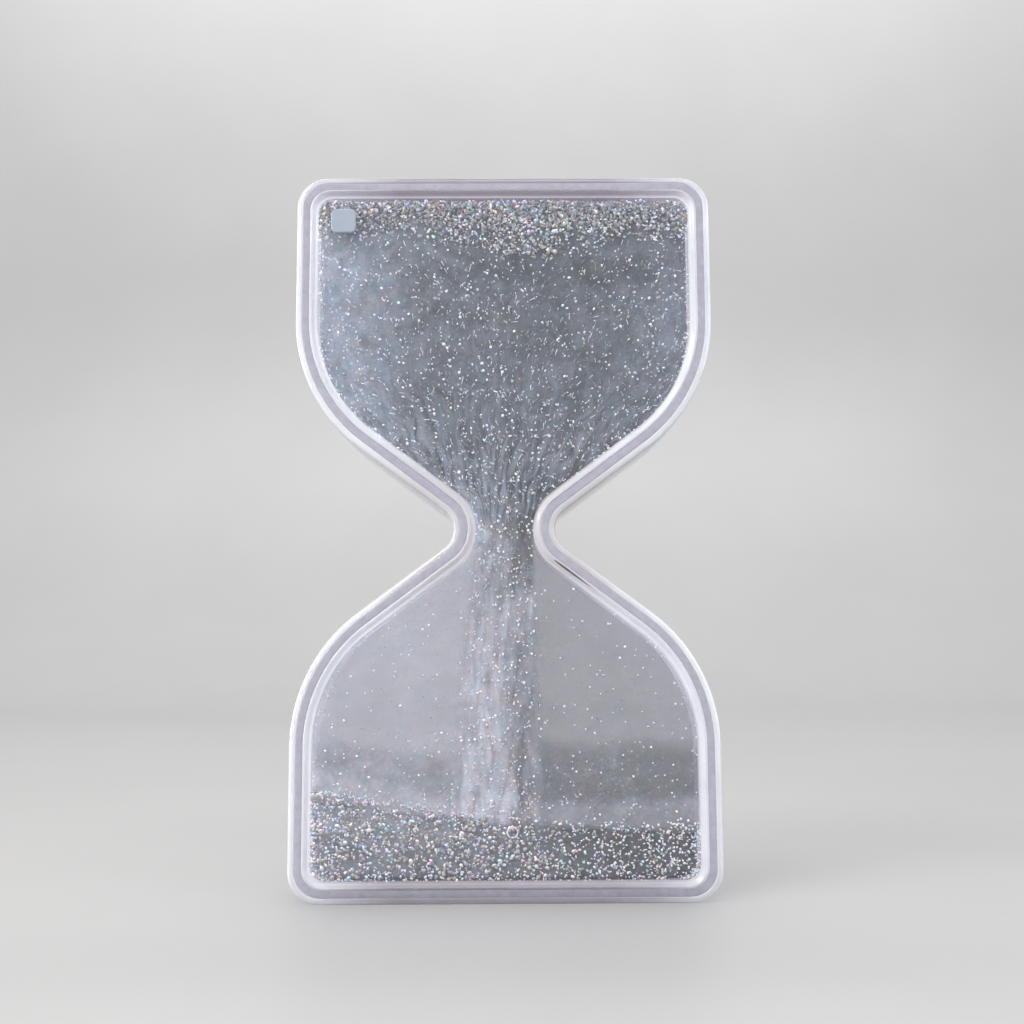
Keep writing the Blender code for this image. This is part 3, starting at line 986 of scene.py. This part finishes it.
def window_depths(count, nearest):
    """Depths in the thin gap between the dust and the windows, from nearest to 7.1 mm from the middle."""
    side = np.where(rng.uniform(size=count) < LOWER_FRONT_SHARE, -1, 1)
    return side * rng.uniform(nearest, 7.1, count) * MM


def make_needles(pale):
    """Slim flakes caught side-on, on the crest of the bed and round the foot of the stream."""
    crest, foot = 170, 160
    x = np.concatenate([rng.uniform(-38, 2, crest), rng.normal(-3, 6, foot)]) * MM
    rise = np.concatenate([rng.exponential(0.8, crest), rng.exponential(12, foot)]) * MM
    y = window_depths(crest + foot, 6.7)
    places = np.stack([x, y, bed_height(x) + rise], axis=1)
    places = places[(np.abs(x) < half_width(places[:, 2], 4.8 * MM)) & (places[:, 2] < MIDDLE - 14 * MM)]
    needles("foot_needles", places, (0.45, 1.15), pale, "clear_liquid")


def make_bed(bright):
    """The settled glitter: large dull flakes at the left, small bright ones at the right."""
    core = cloud_body(
        "bed_core",
        [cloud("bed_dust", grain=1500, contrast=1.05, sparks=0.7)],
        low=CAVITY_FLOOR + 0.1 * MM,
        high=lambda x: bed_height(x) - 0.25 * MM,
        inset=4.5 * MM,
        front=-6.1 * MM,
        back=6.1 * MM,
        bump=0.3 * MM,
        seed=31.0,
        rows=40,
        across=90,
    )
    places = points_of(core)
    rightness = smooth((places[:, 0] + 10 * MM) / (34 * MM))
    depth = smooth((bed_height(places[:, 0]) - 5 * MM - places[:, 2]) / (6 * MM))
    shade_body(core, veil=2, tone=0.68 - 0.30 * rightness - 0.10 * depth * (1 - rightness))
    keep(core, "packed_glitter", "settled_bed")
    mush = glitter("bed_film", tint=0.95, patch=320, dark=0.36, bright=0.22)
    for name, count, material, low, high, turn in (
        ("bed_flakes", 9000, mush, 0.50, 1.15, 0.18),
        ("bed_sparks", 11000, bright, 0.34, 0.72, 0.32),
    ):
        lowest, highest = CAVITY_FLOOR + 0.15 * MM, BED_LEVEL + 8 * MM
        pile = scatter(count, lowest, highest, 4.3 * MM, 0.9 * MM, LOWER_FRONT_SHARE)
        pile = pile[pile[:, 2] < bed_height(pile[:, 0]) + 0.5 * MM * ripple(pile, 260, 40)]
        rightness = smooth((pile[:, 0] + 8 * MM) / (34 * MM))
        pile = chosen(pile, 0.44 * (1 - rightness) if material is mush else 0.26 + 0.34 * rightness)
        crust = count // 14
        x = rng.uniform(-1, -0.1 if material is mush else 1, crust) * (HALF_WIDTH - 4.6 * MM)
        y = rng.uniform(-7.0, 7.0, crust) * MM
        ragged = bed_height(x) + rng.normal(0.0, 0.4, crust) * MM
        pile = np.concatenate([pile, np.stack([x, y, ragged], axis=1)])
        sizes = rng.uniform(low, high, len(pile)) * MM
        slim = rng.uniform(0.42, 0.85, len(pile))
        keep(flakes(name, pile, sizes, material, aspect=slim, turn=turn), "packed_glitter")


def make_bubble():
    """The small air bubble caught against the front window at the top of the bed: a ring in painted
    highlight colours.
    """
    n = Nodes("bubble_painted_highlight")
    # Painted highlight: the grey, pale and pink of the ring stand in for the light that the bubble's edge
    # reflects and bends.
    shades = [(0.35, (0.62, 0.60, 0.66)), (0.5, (0.9, 0.86, 0.9)), (0.65, (0.98, 0.62, 0.74))]
    film = n.ramp(n.noise(n.place(), 900, detail=1), shades)
    highlight_ring = n.finish(n.principled(Base_Color=film, Metallic=0.4, Roughness=0.22))
    x, radius = 1.42 * MM, 1.05 * MM
    turn = np.linspace(0, 2 * math.pi, 40, endpoint=False)
    z = bed_height(x) - 2.5 * MM
    ring = [(x + radius * math.cos(a), -6.95 * MM, z + radius * math.sin(a)) for a in turn]
    radii = (0.16 + 0.05 * np.cos(turn - 2.2)) * MM
    keep(tube("air_bubble", ring, radii, highlight_ring, closed=True), "clear_liquid")


# ---------------------------------------------------------------- the studio

def lamp(name, place, target, size, power, colour=(1, 1, 1)):
    """A soft rectangular lamp that points at its target; power is in watts."""
    data = bpy.data.lights.new(name, "AREA")
    data.shape = "RECTANGLE"
    data.size, data.size_y = size
    data.energy = power
    data.color = colour
    light = bpy.data.objects.new(name, data)
    light.location = place
    light.rotation_euler = (Vector(target) - Vector(place)).to_track_quat("-Z", "Y").to_euler()
    bpy.context.scene.collection.objects.link(light)
    return light


def make_floor():
    """A pale sweep: flat under the object, then curving up into a wall a long way behind it."""
    near, far, bend, top, half = -1.2, 0.9, 0.6, 2.4, 2.2
    profile = [(near, 0.0), (far, 0.0)]
    for a in np.linspace(0.1, math.pi / 2, 14):
        profile.append((far + bend * math.sin(a), bend - bend * math.cos(a)))
    profile.append((far + bend, top))
    xs = np.linspace(-half, half, 5)
    points = np.array([(x, y, z) for y, z in profile for x in xs])
    count = len(xs)
    i = np.arange(count - 1)
    base = (np.arange(len(profile) - 1) * count)[:, None]
    after = base + count
    quads = np.stack([base + i, base + i + 1, after + i + 1, after + i], axis=2).reshape(-1, 4)
    n = Nodes("studio_floor")
    shades = [(0.3, (0.470, 0.462, 0.453)), (0.7, (0.492, 0.483, 0.473))]
    tone = n.ramp(n.noise(n.place(), 6, detail=4), shades)
    material = n.finish(n.principled(Base_Color=tone, Roughness=0.42))
    floor = link("studio_floor", mesh_of("studio_floor", points, [quads]), [material], smooth=30)
    return floor


def spare(floor, light):
    """Keep a low lamp that only draws the plastic's edges from glaring on the floor."""
    left_out = bpy.data.collections.new(light.name + "_leaves_out")
    left_out.objects.link(floor)
    left_out.collection_objects[0].light_linking.link_state = "EXCLUDE"
    light.light_linking.receiver_collection = left_out


def make_studio():
    """The floor, lamps for the object and its edges, one for the wall behind, and a pale sky all round."""
    floor = make_floor()
    aim = (0, 0, MIDDLE)
    lamp("key", (-0.55, -0.45, 0.60), aim, (0.45, 0.45), 4.8, (1.0, 0.985, 0.96))
    lamp("fill", (0.60, -0.40, 0.35), aim, (0.35, 0.60), 1.3, (0.93, 0.96, 1.0))
    lamp("front", (0.05, -0.60, 0.85), aim, (0.60, 0.30), 2.3)
    spare(floor, lamp("left_edge", (-0.60, 0.02, 0.16), aim, (0.14, 0.50), 3.8))
    spare(floor, lamp("right_edge", (0.60, 0.06, 0.20), aim, (0.10, 0.50), 1.4))
    lamp("backdrop", (0, 0.75, 1.7), (0, 1.5, 0.7), (2.2, 0.5), 17.0)
    world = bpy.data.worlds.new("studio")
    world.use_nodes = True
    sky = world.node_tree.nodes["Background"]
    sky.inputs[0].default_value = (0.86, 0.88, 0.92, 1)
    sky.inputs[1].default_value = 0.86
    scene = bpy.context.scene
    scene.world = world
    scene.view_settings.view_transform = "Standard"
    scene.cycles.transparent_max_bounces = 24
    scene.cycles.transmission_bounces = 16
    scene.cycles.max_bounces = 20


def make_camera():
    """Low and close in front, tipped up a little, as in the photo; the angles are in degrees."""
    tip, turn, roll = 6.71, -0.35, -0.25
    data = bpy.data.cameras.new("camera")
    data.angle = math.radians(44.0)
    data.clip_start = 0.01
    camera = bpy.data.objects.new("camera", data)
    camera.location = (0, -0.2681, 0.0480)
    aim = Euler((math.radians(90 + tip), 0, math.radians(turn))).to_matrix()
    level = Euler((0, 0, math.radians(roll))).to_matrix()
    camera.rotation_euler = (aim @ level).to_euler()
    bpy.context.scene.collection.objects.link(camera)
    bpy.context.scene.camera = camera


make_studio()
make_camera()
make_case()
make_void()
make_plug()
bright_film = make_upper()
make_lower(bright_film)
